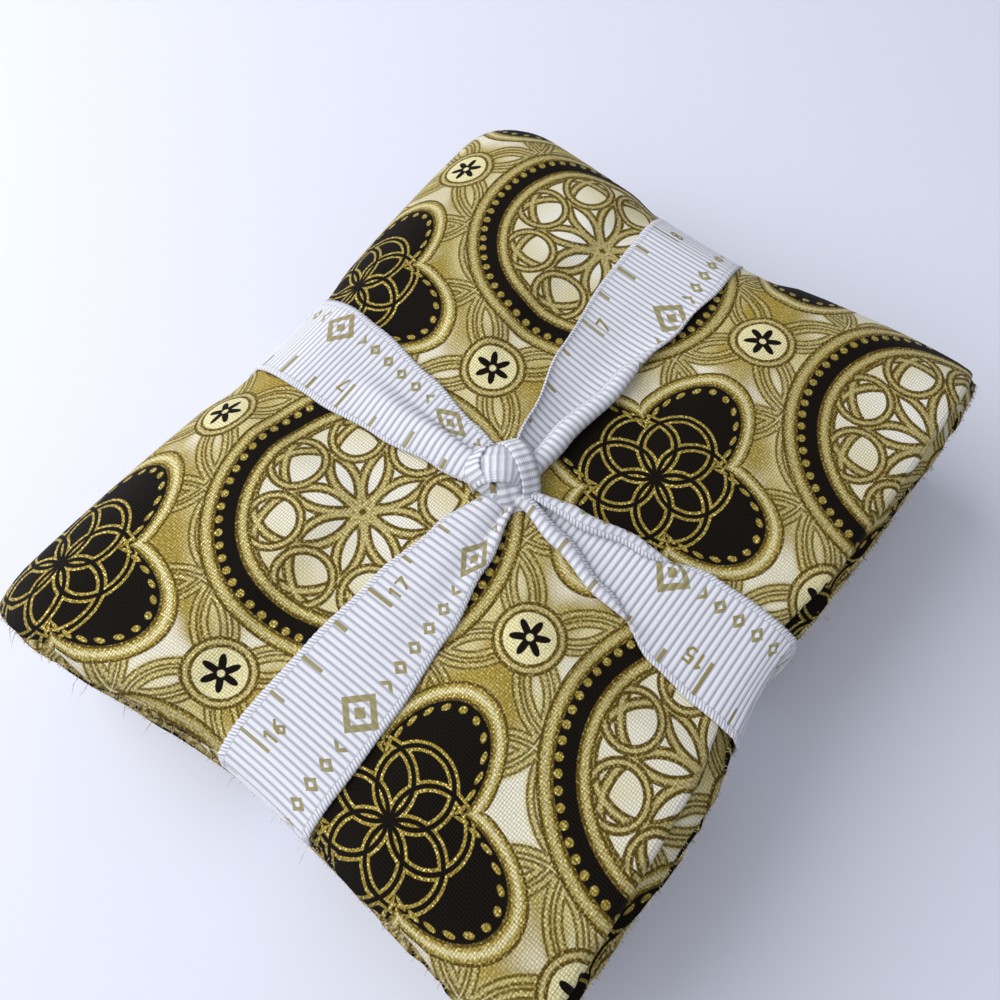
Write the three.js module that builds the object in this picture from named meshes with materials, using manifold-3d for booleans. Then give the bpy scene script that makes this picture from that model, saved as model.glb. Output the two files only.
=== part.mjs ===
// A fat quarter bundle: five cotton fat quarters, each folded into a flat packet, stacked and
// tied like a parcel with one length of narrow grosgrain ribbon, knotted on top.
// Millimetres. X runs along the bundle, Y across it and Z up, and it lies on z = 0.
// Every packet has its rounded spine at +Y and its open edges, folds and raw ends, at -Y.
import * as THREE from 'three';
import { mergeVertices } from 'three/addons/utils/BufferGeometryUtils.js';
import Module from 'manifold-3d';

const wasm = await Module();
wasm.setup();

// One fat quarter is cut 18 by 22 inches, folded in four and then in six.
const CUT_SHORT = 457;
const CUT_LONG = 559;
const PLIES = 4;
const LAYERS = 6;

// A layer is the four plies lying together.
const LAYER = 1.0;
const LAYER_GAP = 0.25;
const PITCH = LAYER + LAYER_GAP;
const PACKET_HEIGHT = LAYERS * LAYER + (LAYERS - 1) * LAYER_GAP;
const PACKET_GAP = 0.6;
const PACKET_RISE = PACKET_HEIGHT + PACKET_GAP;

// What the turns at the folds take is left out of the straight runs between them.
const HALF_TURNS_IN_PITCHES = 0.5 + 1.5 + 2.5 + 0.5 + 0.5;
const RUN = (CUT_LONG - Math.PI * PITCH * HALF_TURNS_IN_PITCHES) / LAYERS;
const HALF_LENGTH = CUT_SHORT / PLIES / 2;
const SPINE_RADIUS = 2.5 * PITCH + LAYER / 2;
const OPEN_RADIUS = 0.5 * PITCH + LAYER / 2;
const HALF_WIDTH = (RUN + SPINE_RADIUS + OPEN_RADIUS) / 2;
const SPINE_LINE = HALF_WIDTH - SPINE_RADIUS;
const OPEN_LINE = -HALF_WIDTH + OPEN_RADIUS;

// The cloth's way through the six layers, counted from the top: it starts at a raw end.
const ROUTE = [
  { layer: 3, toSpine: true, next: 4 },
  { layer: 4, toSpine: false, next: 5 },
  { layer: 5, toSpine: true, next: 2 },
  { layer: 2, toSpine: false, next: 1 },
  { layer: 1, toSpine: true, next: 6 },
  { layer: 6, toSpine: false, next: null },
];
const TURN_STEPS = { 0.5: 2, 1.5: 4, 2.5: 6 };

// The packets from the bottom up. A turn is in degrees, and past says how far the upper fold,
// the raw end under it, the lower fold and the outer raw end stand past the open line.
const PACKETS = [
  { x: 0.3, y: 0.1, turn: 0.2, past: [0.2, 1.6, 0.6, 1.2], grid: 'bottom' },
  { x: -0.4, y: -0.2, turn: -0.3, past: [0.7, 2.4, 0.0, 0.8], grid: 'middle' },
  { x: 0.2, y: 0.3, turn: 0.3, past: [0.0, 1.2, 0.9, 2.6], grid: 'middle' },
  { x: -0.1, y: -0.3, turn: -0.2, past: [0.4, 2.8, 0.3, 1.5], grid: 'middle' },
  { x: 0.0, y: 0.0, turn: 0.0, past: [0.0, 2.9, 0.5, 2.2], grid: 'top' },
];
const STACK_HEIGHT = PACKETS.length * PACKET_RISE - PACKET_GAP;

// The two bands of the ribbon press these flat troughs into the top and the underside.
const TROUGH = { lengthwiseY: -2.0, crosswiseX: -3.3, halfFlat: 11, soft: 6, top: 1.5, bottom: 2.0 };

// Each edge of the top rolls down by its drop over its reach, the underside lifts a little,
// and the ribbon draws the edge in by its waist.
const SIDES = {
  spine: { drop: 6.5, reach: 15, lift: 1.2, liftReach: 8, waist: 3.0 },
  open: { drop: 0.5, reach: 4, lift: 0.0, liftReach: 4, waist: 1.8 },
  far: { drop: 5.0, reach: 11, lift: 0.8, liftReach: 6, waist: 2.2 },
  near: { drop: 2.4, reach: 6.5, lift: 0.3, liftReach: 4, waist: 3.0 },
};

// Folded by hand, the stack is a little out of square: its near end flares towards +Y and its
// far end towards -Y, both away from the ribbon.
const FLARE = { near: 3.0, far: 2.2, from: 4, full: 40 };
const CROWN = 2.6;
const WAIST_SPREAD = 27;
const WAIST_BELOW = 0.5;
const WALL_BULGE = 0.8;
const TOP_ROLL_IN = 1.2;
const EDGE_POWER = 1.6;

// Where the folded cloth has points along X and Y: close together where it bends.
const TROUGH_X = [-20.3, -14.3, -3.3, 7.7, 13.7];
const TROUGH_Y = [-19, -13, -2, 9, 15];
const GRIDS = {
  bottom: { x: [-50, ...TROUGH_X, 44, 51], y: [...TROUGH_Y, 34] },
  middle: { x: [-51, -30, -3.3, 23, 44, 51], y: [-24, -2, 18, 31, 38] },
  top: { x: [-54.5, -50, -36, ...TROUGH_X, 26, 38, 46, 50, 54], y: [-34, ...TROUGH_Y, 24, 31, 37] },
};

// The ribbon is 5/8 inch wide. Its crosswise band lies over the lengthwise one all round.
const RIBBON_WIDTH = 16;
const RIBBON = 1.0;
const RIBBON_GAP = 0.5;
const END_ROOM = 1.2;
const SPINE_ROOM = 0.6;
const OPEN_ROOM = 3.6;

// The knot: one gathered wrap lies over another, each a short arched roll of ribbon.
const KNOT = { x: -4, y: -4, sunk: 0.5 };
const WRAPS = [
  { length: 5.0, radius: 2.3, turn: -45, arch: 0.5, above: 0.9 },
  { length: 3.6, radius: 2.1, turn: 40, arch: 0.3, above: 0.2 },
];

// How the two bands leave the knot: low is the arm towards -X or -Y. An arm's centre is at
// the edge value where it goes over the bundle's edge, and it is gathered near the knot.
const BANDS = {
  lengthwise: { lowEdge: -3.9, highEdge: 0.0, lowFull: 24, highFull: 50, knotWidth: 6.5, out: 0 },
  crosswise: { lowEdge: -4.8, highEdge: -1.8, lowFull: 42, highFull: 40, knotWidth: 7.5, out: 0.4 },
};
const GATHER_RISE = 1.3;
const WALL_SHARES = [0.1, 0.3, 0.5, 0.7, 0.9];

// The ribbon's section, once round: side is -1 to 1 across it, out is 0 inside and 1 outside.
const RIBBON_SECTION = [
  { side: 0, out: 1 },
  { side: 0.5, out: 1 },
  { side: 1, out: 1 },
  { side: 1, out: 0 },
  { side: 0.5, out: 0 },
  { side: 0, out: 0 },
  { side: -0.5, out: 0 },
  { side: -1, out: 0 },
  { side: -1, out: 1 },
  { side: -0.5, out: 1 },
];

const { clamp, degToRad, lerp, smoothstep } = THREE.MathUtils;

function ramp(past, reach) {
  return clamp(1 + past / reach, 0, 1.3) ** 2;
}

function trough(distance) {
  return 1 - smoothstep(Math.abs(distance), TROUGH.halfFlat, TROUGH.halfFlat + TROUGH.soft);
}

// The bundle's real form: moves a point of the flat, square stack to where it really lies.
function settle(point) {
  const { x, y, z } = point;
  const up = clamp(z / STACK_HEIGHT, 0, 1);
  const across = clamp(Math.abs(y) / HALF_WIDTH, 0, 1.1);
  const along = clamp(Math.abs(x) / HALF_LENGTH, 0, 1.1);
  const pressed = Math.max(trough(y - TROUGH.lengthwiseY), trough(x - TROUGH.crosswiseX));
  const past = {
    spine: y - HALF_WIDTH,
    open: -y - HALF_WIDTH,
    far: x - HALF_LENGTH,
    near: -x - HALF_LENGTH,
  };
  let sink = 0;
  let lift = 0;
  for (const [name, side] of Object.entries(SIDES)) {
    sink += side.drop * ramp(past[name], side.reach);
    lift += side.lift * ramp(past[name], side.liftReach);
  }
  const lobes = CROWN * Math.max(0, 1 - along ** 2) * Math.max(0, 1 - across ** 2);
  const topPacket = smoothstep(up, 1 - PACKET_RISE / STACK_HEIGHT, 1);
  const bottomPacket = 1 - smoothstep(up, 0, PACKET_HEIGHT / STACK_HEIGHT);
  const waistX = Math.exp(-(((x - TROUGH.crosswiseX) / WAIST_SPREAD) ** 2));
  const waistY = Math.exp(-(((y - TROUGH.lengthwiseY) / WAIST_SPREAD) ** 2));
  const waist = lerp(WAIST_BELOW, 1, up ** 2);
  const bulge = WALL_BULGE * (1 - (2 * up - 1) ** 2);
  const sideY = y > 0 ? SIDES.spine : SIDES.open;
  const sideX = x > 0 ? SIDES.far : SIDES.near;
  const aside = (y - TROUGH.lengthwiseY) * -Math.sign(x);
  const flare = (x > 0 ? FLARE.far : FLARE.near) * smoothstep(aside, FLARE.from, FLARE.full);
  const rollY = y > 0 ? TOP_ROLL_IN * up ** 4 : 0;
  const rollX = x > 0 ? TOP_ROLL_IN * up ** 4 : 0;
  point.z = z
    + (lobes - sink) * up ** EDGE_POWER
    + lift * (1 - up) ** EDGE_POWER
    - TROUGH.top * pressed * topPacket
    + TROUGH.bottom * pressed * bottomPacket;
  point.y = y + Math.sign(y) * across ** 3 * (bulge - rollY - sideY.waist * waist * waistX);
  const pullX = sideX.waist * waist * waistY;
  point.x = x + Math.sign(x) * along ** 3 * (bulge + flare - rollX - pullX);
  return point;
}

function movePoints(geometry, move) {
  const positions = geometry.attributes.position;
  const point = new THREE.Vector3();
  for (let i = 0; i < positions.count; i += 1) {
    point.fromBufferAttribute(positions, i);
    move(point);
    positions.setXYZ(i, point.x, point.y, point.z);
  }
  geometry.computeVertexNormals();
  return geometry;
}

// A straight run of one layer, as points of its middle line with their left-hand normals.
function straightRun(from, to, z, stations) {
  const heading = Math.sign(to - from);
  const between = stations.filter((y) => (y - from) * heading > 1 && (to - y) * heading > 1);
  between.sort((a, b) => (a - b) * heading);
  return [from, ...between, to].map((y) => ({ y, z, normalY: 0, normalZ: heading }));
}

// A half turn from one layer to another, without its two end points.
function halfTurn(y, fromZ, toZ, heading) {
  const radius = Math.abs(fromZ - toZ) / 2;
  const steps = TURN_STEPS[Math.round(radius / PITCH * 2) / 2];
  const start = fromZ > toZ ? Math.PI / 2 : -Math.PI / 2;
  const sweep = -Math.sign(start) * heading * Math.PI;
  const points = [];
  for (let i = 1; i < steps; i += 1) {
    const angle = start + sweep * i / steps;
    const outward = -Math.sign(sweep);
    points.push({
      y: y + radius * Math.cos(angle),
      z: (fromZ + toZ) / 2 + radius * Math.sin(angle),
      normalY: outward * Math.cos(angle),
      normalZ: outward * Math.sin(angle),
    });
  }
  return points;
}

// The middle line of one packet's cloth, back and forth through its six layers.
function foldedLine(packet, base, stations) {
  const layerZ = (layer) => base + PACKET_HEIGHT - LAYER / 2 - (layer - 1) * PITCH;
  const openEnd = (layer) => {
    const [upperFold, innerRaw, lowerFold, outerRaw] = packet.past;
    const past = [upperFold, upperFold, innerRaw, lowerFold, lowerFold, outerRaw][layer - 1];
    const raw = layer === 3 || layer === 6;
    return OPEN_LINE - past - (raw ? OPEN_RADIUS : 0);
  };
  const line = [];
  for (const { layer, toSpine, next } of ROUTE) {
    const ends = [openEnd(layer), SPINE_LINE];
    const [from, to] = toSpine ? ends : ends.reverse();
    line.push(...straightRun(from, to, layerZ(layer), stations));
    if (next) {
      line.push(...halfTurn(to, layerZ(layer), layerZ(next), toSpine ? 1 : -1));
    }
  }
  return line;
}

// The cloth is a flat strip, as long as its line has steps, that is laid along the line.
function packetGeometry(packet, index) {
  const grid = GRIDS[packet.grid];
  const stations = [-HALF_LENGTH, ...grid.x, HALF_LENGTH];
  const line = foldedLine(packet, index * PACKET_RISE, grid.y);
  const steps = line.length - 1;
  const rows = stations.length - 1;
  const strip = new THREE.BoxGeometry(steps, LAYER, rows, steps, 1, rows);
  const upright = new THREE.Vector3(0, 0, 1);
  return movePoints(strip, (point) => {
    const at = line[Math.round(point.x + steps / 2)];
    const x = stations[Math.round(point.z + rows / 2)];
    point.set(x, at.y + at.normalY * point.y, at.z + at.normalZ * point.y);
    point.applyAxisAngle(upright, degToRad(packet.turn));
    point.x += packet.x;
    point.y += packet.y;
    settle(point);
  });
}

// A rounded loop round the flat stack, seen from the side: u along the band, z up. Each point
// has the direction in which the band's thickness is measured.
function loopLine(low, high, stations) {
  const point = (u, z, outU, outZ) => ({ u, z, outU, outZ });
  const corner = (u, z, radius, startDegrees) => [0, 1, 2, 3].map((i) => {
    const angle = degToRad(startDegrees - 30 * i);
    const [outU, outZ] = [Math.cos(angle), Math.sin(angle)];
    return point(u + radius * outU, z + radius * outZ, outU, outZ);
  });
  const wall = (u, from, to) => WALL_SHARES.map((t) => point(u, lerp(from, to, t), Math.sign(u), 0));
  const leftU = low.at + low.radius;
  const rightU = high.at - high.radius;
  const top = STACK_HEIGHT;
  return [
    ...stations.map((u) => point(u, top, 0, 1)),
    ...corner(rightU, top - high.radius, high.radius, 90),
    ...wall(high.at, top - high.radius, high.radius),
    ...corner(rightU, high.radius, high.radius, 0),
    ...stations.map((u) => point(u, 0, 0, -1)).reverse(),
    ...corner(leftU, low.radius, low.radius, -90),
    ...wall(low.at, low.radius, top - low.radius),
    ...corner(leftU, top - low.radius, low.radius, 180),
  ];
}

// Narrows a band towards the knot, leans its arms and lets the gathered cloth rise.
function gather(band, u, w, z, knotU, knotW, restW, halfSpan) {
  const onTop = smoothstep(z, STACK_HEIGHT * 0.8, STACK_HEIGHT);
  const high = u > knotU;
  const edge = high ? band.highEdge : band.lowEdge;
  const full = high ? band.highFull : band.lowFull;
  const away = Math.abs(u - knotU);
  const share = clamp(away / (halfSpan - Math.sign(u - knotU) * knotU), 0, 1);
  const width = lerp(band.knotWidth, RIBBON_WIDTH, smoothstep(away, 2, full)) / RIBBON_WIDTH;
  const middle = lerp(restW, lerp(knotW, edge, share), smoothstep(z, 0, STACK_HEIGHT));
  const scale = lerp(1, width, onTop);
  const crease = 1 - (2 * w / RIBBON_WIDTH) ** 2;
  return { across: middle + w * scale, rise: onTop * GATHER_RISE * (1 - width) * crease };
}

// A ring whose section is the ribbon's: side goes across it and out through its thickness.
function bandSolid(line, out, toPoint) {
  const ring = new THREE.TorusGeometry(2, 1, RIBBON_SECTION.length, line.length);
  const uv = ring.attributes.uv;
  let index = 0;
  return toSolid(movePoints(ring, (point) => {
    const along = line[Math.round(uv.getX(index) * line.length) % line.length];
    const around = Math.round(uv.getY(index) * RIBBON_SECTION.length) % RIBBON_SECTION.length;
    const section = RIBBON_SECTION[around];
    const away = RIBBON_GAP + out + RIBBON * section.out;
    const w = section.side * RIBBON_WIDTH / 2;
    toPoint(point, along.u + along.outU * away, w, along.z + along.outZ * away);
    settle(point);
    index += 1;
  }));
}

function lengthwiseBand() {
  const low = { at: -HALF_LENGTH - END_ROOM, radius: END_ROOM };
  const high = { at: HALF_LENGTH + END_ROOM, radius: END_ROOM };
  const stations = [-54.5, -50, -43, -36, -28, ...TROUGH_X, -9, 2, 20, 26, 32, 38, 46, 50, 54];
  stations.sort((a, b) => a - b);
  const band = BANDS.lengthwise;
  return bandSolid(loopLine(low, high, stations), band.out, (point, u, w, z) => {
    const { across, rise } = gather(band, u, w, z, KNOT.x, KNOT.y, TROUGH.lengthwiseY, HALF_LENGTH);
    point.set(u, across, z + rise);
  });
}

function crosswiseBand() {
  const low = { at: -HALF_WIDTH - OPEN_ROOM, radius: OPEN_ROOM };
  const high = { at: HALF_WIDTH + SPINE_ROOM, radius: SPINE_RADIUS };
  const stations = [-40, -34, -26, ...TROUGH_Y, -7, 3.5, 20, 24, 28, 31, 37];
  stations.sort((a, b) => a - b);
  const band = BANDS.crosswise;
  return bandSolid(loopLine(low, high, stations), band.out, (point, u, w, z) => {
    const { across, rise } = gather(band, u, -w, z, KNOT.y, KNOT.x, TROUGH.crosswiseX, HALF_WIDTH);
    point.set(across, u, z + rise);
  });
}

function wrapSolid(wrap, base) {
  const roll = new THREE.CapsuleGeometry(wrap.radius, wrap.length, 3, 14, 4);
  roll.rotateZ(Math.PI / 2);
  return toSolid(movePoints(roll, (point) => {
    const end = 2 * point.x / (wrap.length + 2 * wrap.radius);
    point.z = Math.max(base - KNOT.sunk, point.z + base + wrap.above - wrap.arch * end ** 2);
    point.applyAxisAngle(new THREE.Vector3(0, 0, 1), degToRad(wrap.turn));
    point.x += KNOT.x;
    point.y += KNOT.y;
  }));
}

// The whole ribbon is one solid: two bands that cross under the stack, and their knot.
function ribbonSolid() {
  const overBands = STACK_HEIGHT + RIBBON_GAP + BANDS.crosswise.out + RIBBON;
  const base = settle(new THREE.Vector3(KNOT.x, KNOT.y, overBands)).z;
  let solid = lengthwiseBand().add(crosswiseBand());
  for (const wrap of WRAPS) {
    solid = solid.add(wrapSolid(wrap, base));
  }
  return solid;
}

function toSolid(geometry) {
  const bare = geometry.clone();
  bare.deleteAttribute('normal');
  bare.deleteAttribute('uv');
  const merged = mergeVertices(bare, 1e-5);
  return new wasm.Manifold(new wasm.Mesh({
    numProp: 3,
    vertProperties: new Float32Array(merged.attributes.position.array),
    triVerts: new Uint32Array(merged.index.array),
  }));
}

function toGeometry(solid) {
  const { vertProperties, triVerts } = solid.getMesh();
  const geometry = new THREE.BufferGeometry();
  geometry.setAttribute('position', new THREE.BufferAttribute(vertProperties, 3));
  geometry.setIndex(new THREE.BufferAttribute(triVerts, 1));
  geometry.computeVertexNormals();
  return geometry;
}

const COTTON = new THREE.MeshStandardMaterial({ color: 0x9c8544, roughness: 0.75, metalness: 0.15 });
const GROSGRAIN = new THREE.MeshStandardMaterial({ color: 0xe6e7ee, roughness: 0.6, metalness: 0 });

const bundle = new THREE.Group();

PACKETS.forEach((packet, index) => {
  const mesh = new THREE.Mesh(packetGeometry(packet, index), COTTON.clone());
  mesh.name = `fat_quarter_${index + 1}`;
  bundle.add(mesh);
});

const ribbon = new THREE.Mesh(toGeometry(ribbonSolid()), GROSGRAIN);
ribbon.name = 'ribbon';
bundle.add(ribbon);

const box = new THREE.Box3().setFromObject(bundle);
const centre = box.getCenter(new THREE.Vector3());
bundle.position.set(-centre.x, -centre.y, -box.min.z);

export default bundle;
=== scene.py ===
# %% [markdown]
# # A fat quarter bundle, tied with grosgrain ribbon
# A fat quarter is a quarter of a yard of quilting cotton, cut 18 by 22 inches. Shops fold several
# of them into flat packets, stack the packets and tie the stack like a parcel. In this lesson
# every fat quarter is one real sheet of cloth, folded ply by ply, and the ribbon is one strip of
# grosgrain with its own ribs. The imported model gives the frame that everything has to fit.

# %% The frame
import math

import bpy
import numpy as np
from mathutils import Matrix, Vector


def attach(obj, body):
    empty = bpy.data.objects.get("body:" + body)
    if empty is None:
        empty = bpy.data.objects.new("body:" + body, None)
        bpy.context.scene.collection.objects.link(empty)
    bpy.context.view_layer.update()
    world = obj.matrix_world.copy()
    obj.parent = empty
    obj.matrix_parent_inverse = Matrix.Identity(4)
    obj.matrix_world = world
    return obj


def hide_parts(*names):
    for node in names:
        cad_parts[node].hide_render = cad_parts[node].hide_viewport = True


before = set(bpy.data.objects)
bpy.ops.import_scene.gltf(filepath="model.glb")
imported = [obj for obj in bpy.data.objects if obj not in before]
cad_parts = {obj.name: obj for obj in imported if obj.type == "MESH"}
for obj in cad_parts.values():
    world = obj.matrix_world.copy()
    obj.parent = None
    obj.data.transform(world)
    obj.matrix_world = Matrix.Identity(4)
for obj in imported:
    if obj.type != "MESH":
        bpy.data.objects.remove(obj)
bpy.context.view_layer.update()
dice = np.random.default_rng(1822)
print("nodes in the frame:", sorted(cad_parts))

# %% [markdown]
# The picture is taken from close by, a little over a hand's width above the bundle, and it
# looks down steeply. Such a short distance gives the strong perspective of a telephone's picture.
# A camera is easiest to repeat when its place and its yaw, pitch and roll are named numbers.

# %% The camera
MM = 0.001
STACK_HEIGHT = 38.65
SHIFT = np.array([0.2279, 1.8473, 0.0])
CAMERA_AT = np.array([-42.1, -32.9, STACK_HEIGHT + 110.4])
YAW, PITCH, ROLL = (math.radians(angle) for angle in (38.85, 67.1, -0.85))
FOCAL_PIXELS = 861
FRAME_PIXELS = 1000
SENSOR_MM = 36


def to_frame(points):
    """Points of the bundle's own drawing, in millimetres, as points of the frame, in metres."""
    return (np.asarray(points, float) + SHIFT) * MM


ahead = Vector((math.cos(YAW) * math.cos(PITCH), math.sin(YAW) * math.cos(PITCH), -math.sin(PITCH)))
level = Vector((math.sin(YAW), -math.cos(YAW), 0))
above = level.cross(ahead)
right = math.cos(ROLL) * level + math.sin(ROLL) * above
upward = right.cross(ahead)
lens = bpy.data.cameras.new("camera")
lens.lens = FOCAL_PIXELS / FRAME_PIXELS * SENSOR_MM
lens.sensor_width = SENSOR_MM
lens.clip_start = 0.01
camera = bpy.data.objects.new("camera", lens)
camera.matrix_world = Matrix.Translation(to_frame(CAMERA_AT)) @ Matrix(
    (right, upward, -ahead)
).transposed().to_4x4()
bpy.context.scene.collection.objects.link(camera)
bpy.context.scene.camera = camera
print("lens of", round(lens.lens, 1), "mm")

# %% [markdown]
# Cloth that is stacked and tied doesn't stay square. The edges of the top roll down, most at the
# folded spine, the four fields between the ribbon's arms puff up, and the ribbon presses troughs
# and draws the walls in. The drawing does all that with one function, `settle`, which moves a
# point of a flat, square stack to where it really lies. The same function is repeated here, so
# that every thread of the scene lies where the solid model has it.

# %% How the stack settles
PACKETS = 5
LAYERS = 6
LAYER = 1.0
PITCH_OF_LAYERS = 1.25
PACKET_HEIGHT = 7.25
PACKET_RISE = 7.85
CUT_SHORT = 457
CUT_LONG = 559
HALF_LENGTH = CUT_SHORT / 8
SPINE_RADIUS = 3.625
OPEN_RADIUS = 1.125
RUN = (CUT_LONG - math.pi * PITCH_OF_LAYERS * 5.5) / LAYERS
HALF_WIDTH = (RUN + SPINE_RADIUS + OPEN_RADIUS) / 2
SPINE_LINE = HALF_WIDTH - SPINE_RADIUS
OPEN_LINE = OPEN_RADIUS - HALF_WIDTH
TROUGH_Y = -2.0
TROUGH_X = -3.3
TUCK = 2.2
SIDES = {
    "spine": {"drop": 6.5, "reach": 15, "lift": 1.2, "lift_reach": 8, "waist": 3.0},
    "open": {"drop": 0.5, "reach": 4, "lift": 0.0, "lift_reach": 4, "waist": 1.8},
    "far": {"drop": 5.0, "reach": 11, "lift": 0.8, "lift_reach": 6, "waist": 2.2},
    "near": {"drop": 2.4, "reach": 6.5, "lift": 0.3, "lift_reach": 4, "waist": 3.0},
}


def smooth(x, low, high):
    t = np.clip((x - low) / (high - low), 0, 1)
    return t * t * (3 - 2 * t)


def blend(a, b, t):
    return a + (b - a) * t


def settle(points):
    """Moves points of the flat stack, an array whose last axis is x, y, z in mm."""
    x, y, z = (points[..., i] for i in range(3))
    up = np.clip(z / STACK_HEIGHT, 0, 1)
    across = np.clip(np.abs(y) / HALF_WIDTH, 0, 1.1)
    along = np.clip(np.abs(x) / HALF_LENGTH, 0, 1.1)
    from_bands = np.minimum(np.abs(y - TROUGH_Y), np.abs(x - TROUGH_X))
    pressed = 1 - smooth(from_bands, 11, 17)
    past = {
        "spine": y - HALF_WIDTH, "open": -y - HALF_WIDTH,
        "far": x - HALF_LENGTH, "near": -x - HALF_LENGTH,
    }
    sink = sum(s["drop"] * np.clip(1 + past[n] / s["reach"], 0, 1.3) ** 2 for n, s in SIDES.items())
    lift = sum(s["lift"] * np.clip(1 + past[n] / s["lift_reach"], 0, 1.3) ** 2 for n, s in SIDES.items())
    lobes = 2.6 * np.maximum(0, 1 - along**2) * np.maximum(0, 1 - across**2)
    top_packet = smooth(up, 1 - PACKET_RISE / STACK_HEIGHT, 1)
    bottom_packet = 1 - smooth(up, 0, PACKET_HEIGHT / STACK_HEIGHT)
    waist_x = np.exp(-(((x - TROUGH_X) / 27) ** 2))
    waist_y = np.exp(-(((y - TROUGH_Y) / 27) ** 2))
    waist = blend(0.5, 1, up**2)
    bulge = 0.8 * (1 - (2 * up - 1) ** 2)
    aside = (y - TROUGH_Y) * -np.sign(x)
    flare = np.where(x > 0, 2.2, 3.0) * smooth(aside, 4, 40)
    pull_y = np.where(y > 0, SIDES["spine"]["waist"], SIDES["open"]["waist"])
    pull_x = np.where(x > 0, SIDES["far"]["waist"], SIDES["near"]["waist"])
    roll_y = np.where(y > 0, 1.2 * up**4, 0)
    roll_x = np.where(x > 0, 1.2 * up**4, 0)
    z = z + (lobes - sink) * up**1.6 + lift * (1 - up) ** 1.6
    z = z - 1.5 * pressed * top_packet + 2.0 * pressed * bottom_packet
    tucked = np.where(y > 0, 0, TUCK * (1 - smooth(z, STACK_HEIGHT - 3.4, STACK_HEIGHT - 0.6)))
    tucked = tucked * np.exp(-(((x - TROUGH_X) / 12) ** 2)) * across**3
    moved_y = y + np.sign(y) * across**3 * (bulge - roll_y - pull_y * waist * waist_x) + tucked
    moved_x = x + np.sign(x) * along**3 * (bulge + flare - roll_x - pull_x * waist * waist_y)
    return np.stack([moved_x, moved_y, z], axis=-1)


middle = settle(np.array([0.0, 0.0, STACK_HEIGHT]))
print("the middle of the top settles at", np.round(middle, 2), "mm")

# %% [markdown]
# Nearly every piece of this bundle is a strip: a grid of points with the cloth's own length and
# width as its UV map. One helper turns such a grid into a mesh. The UV map holds millimetres on
# the uncut cloth, so prints and weaves run on over every fold, as they do on the real thing.

# %% A grid of points becomes a strip of cloth
def new_piece(name, points, faces, material):
    """An object from points in mm and its list of faces."""
    mesh = bpy.data.meshes.new(name)
    mesh.from_pydata(to_frame(points.reshape(-1, 3)).tolist(), [], faces)
    mesh.materials.append(material)
    piece = bpy.data.objects.new(name, mesh)
    bpy.context.scene.collection.objects.link(piece)
    return piece


def strip(name, points, flat, material, thickness=0.0, uv_name="cut"):
    """points is rows x columns x 3 in mm, flat the same grid's two flat coordinates in mm."""
    rows, columns = points.shape[:2]
    first = (np.arange(rows - 1)[:, None] * columns + np.arange(columns - 1)[None, :]).ravel()
    faces = np.stack([first, first + 1, first + columns + 1, first + columns], axis=-1)
    piece = new_piece(name, points, faces.tolist(), material)
    mesh = piece.data
    layer = mesh.uv_layers.new(name=uv_name)
    layer.data.foreach_set("uv", flat.reshape(-1, 2)[faces.ravel()].ravel().astype(np.float32))
    mesh.polygons.foreach_set("use_smooth", np.ones(len(faces), bool))
    mesh.update()
    if thickness:
        shell = piece.modifiers.new("thickness", "SOLIDIFY")
        shell.thickness = thickness * MM
        shell.offset = 0
    return piece


def normals_of(points):
    """Unit normals of a grid of points, from the lines through its neighbours."""
    across = np.gradient(points, axis=1)
    along = np.gradient(points, axis=0)
    normal = np.cross(along, across)
    return normal / np.maximum(np.linalg.norm(normal, axis=-1, keepdims=True), 1e-9)


print("strips are made from grids, in mm on the uncut cloth")

# %% [markdown]
# ## Materials
# Shader maths reads best as maths. This small class wraps one output of a material's nodes: an
# expression on it adds Math nodes, and every other kind of node comes from one method, `add`.

# %% Shader maths as Python expressions
class Wire:
    """One output of a material's nodes."""

    def __init__(self, tree, socket):
        self.tree = tree
        self.socket = socket

    def add(self, kind, settings=None, inputs=None, output=0):
        node = self.tree.nodes.new("ShaderNode" + kind)
        for name, value in (settings or {}).items():
            setattr(node, name, value)
        for name, value in (inputs or {}).items():
            if isinstance(value, Wire):
                self.tree.links.new(value.socket, node.inputs[name])
            else:
                node.inputs[name].default_value = value
        return Wire(self.tree, node.outputs[output])

    def math(self, operation, *values):
        return self.add("Math", {"operation": operation}, dict(enumerate(values)))

    def __add__(self, other):
        return self.math("ADD", self, other)

    def __sub__(self, other):
        return self.math("SUBTRACT", self, other)

    def __mul__(self, other):
        return self.math("MULTIPLY", self, other)

    def __truediv__(self, other):
        return self.math("DIVIDE", self, other)

    def __radd__(self, other):
        return self.math("ADD", other, self)

    def __rsub__(self, other):
        return self.math("SUBTRACT", other, self)

    def __rmul__(self, other):
        return self.math("MULTIPLY", other, self)

    def __abs__(self):
        return self.math("ABSOLUTE", self)

    def __pow__(self, other):
        return self.math("POWER", self, other)

    def cosine(self):
        return self.math("COSINE", self)

    def sine(self):
        return self.math("SINE", self)

    def part(self):
        """What is left of a number after its whole part."""
        return self.math("FRACT", self)

    def whole(self):
        return self.math("FLOOR", self)

    def least(self, other):
        return self.math("MINIMUM", self, other)

    def most(self, other):
        return self.math("MAXIMUM", self, other)

    def step(self, low, high):
        """Goes smoothly from 0 at low to 1 at high; high may be the smaller."""
        if low > high:
            return 1 - self.step(high, low)
        return self.add(
            "MapRange",
            {"interpolation_type": "SMOOTHSTEP"},
            {"Value": self, "From Min": low, "From Max": high},
        )

    def line(self, half, soft):
        """1 on a line of this half width round the zero of a distance."""
        return abs(self).step(half + soft, half - soft)


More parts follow.
